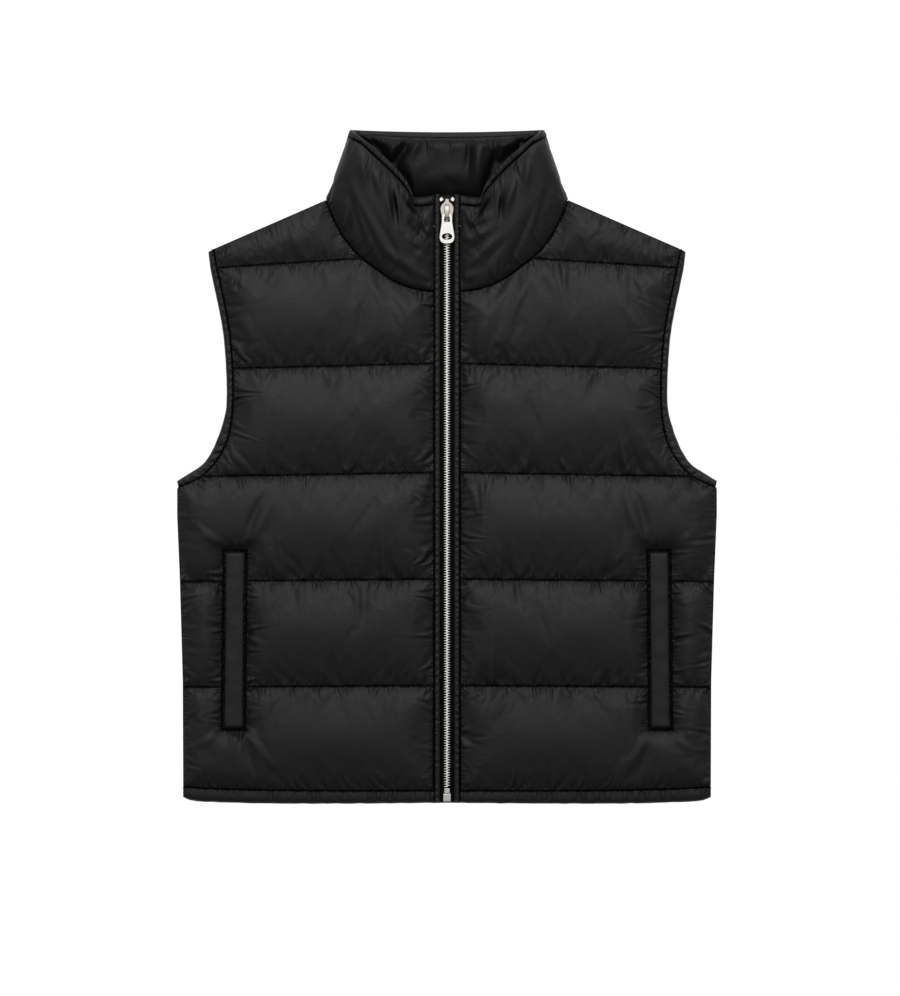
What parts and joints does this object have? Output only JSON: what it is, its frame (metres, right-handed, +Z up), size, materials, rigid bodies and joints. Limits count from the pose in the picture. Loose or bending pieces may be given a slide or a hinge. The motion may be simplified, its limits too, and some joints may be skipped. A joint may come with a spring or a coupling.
{
  "type": "puffer vest",
  "caption": "Sleeveless padded vest with a stand-up collar, quilted across, zipped to the top, with upright welt pockets.",
  "frame": {"origin": "middle of the laid-out vest's box, on the surface that it lies on", "axes": "+Z up from that surface through the front, +Y from the hem to the collar, +X towards the wearer's left"},
  "size_m": [0.54, 0.6738, 0.0393],
  "materials": {
    "shell_cloth": "fine black satin nylon, softly shining",
    "lining_cloth": "smooth shiny black lining",
    "zip_tape": "matt black woven tape",
    "nickel": "warm polished nickel"
  },
  "bodies": {
    "vest": {"front_left": "shell_cloth", "front_right": "shell_cloth", "back": "shell_cloth", "collar": "shell_cloth", "armhole_front_left": "shell_cloth", "armhole_front_right": "shell_cloth", "armhole_back_left": "shell_cloth", "armhole_back_right": "shell_cloth", "hem_front_left": "shell_cloth", "hem_front_right": "shell_cloth", "hem_back": "shell_cloth", "pocket_welt_left": "shell_cloth", "pocket_welt_right": "shell_cloth", "placket_left": "shell_cloth", "placket_right": "shell_cloth", "collar_lining": "lining_cloth", "zip_tape_left": "zip_tape", "zip_tape_right": "zip_tape", "zip_chain": "nickel", "insertion_pin": "nickel", "retainer_box": "nickel", "top_stop_left": "nickel", "top_stop_right": "nickel", "slider": "nickel"},
    "tab": {"pull_tab": "nickel"}
  },
  "joints": [
    {"name": "pull_tab_hinge", "type": "hinge", "parent": "vest", "child": "tab", "pos_m": [0, 0.2513, 0.0249], "axis": [-1, 0, 0], "range_deg": [0, 140]}
  ]
}
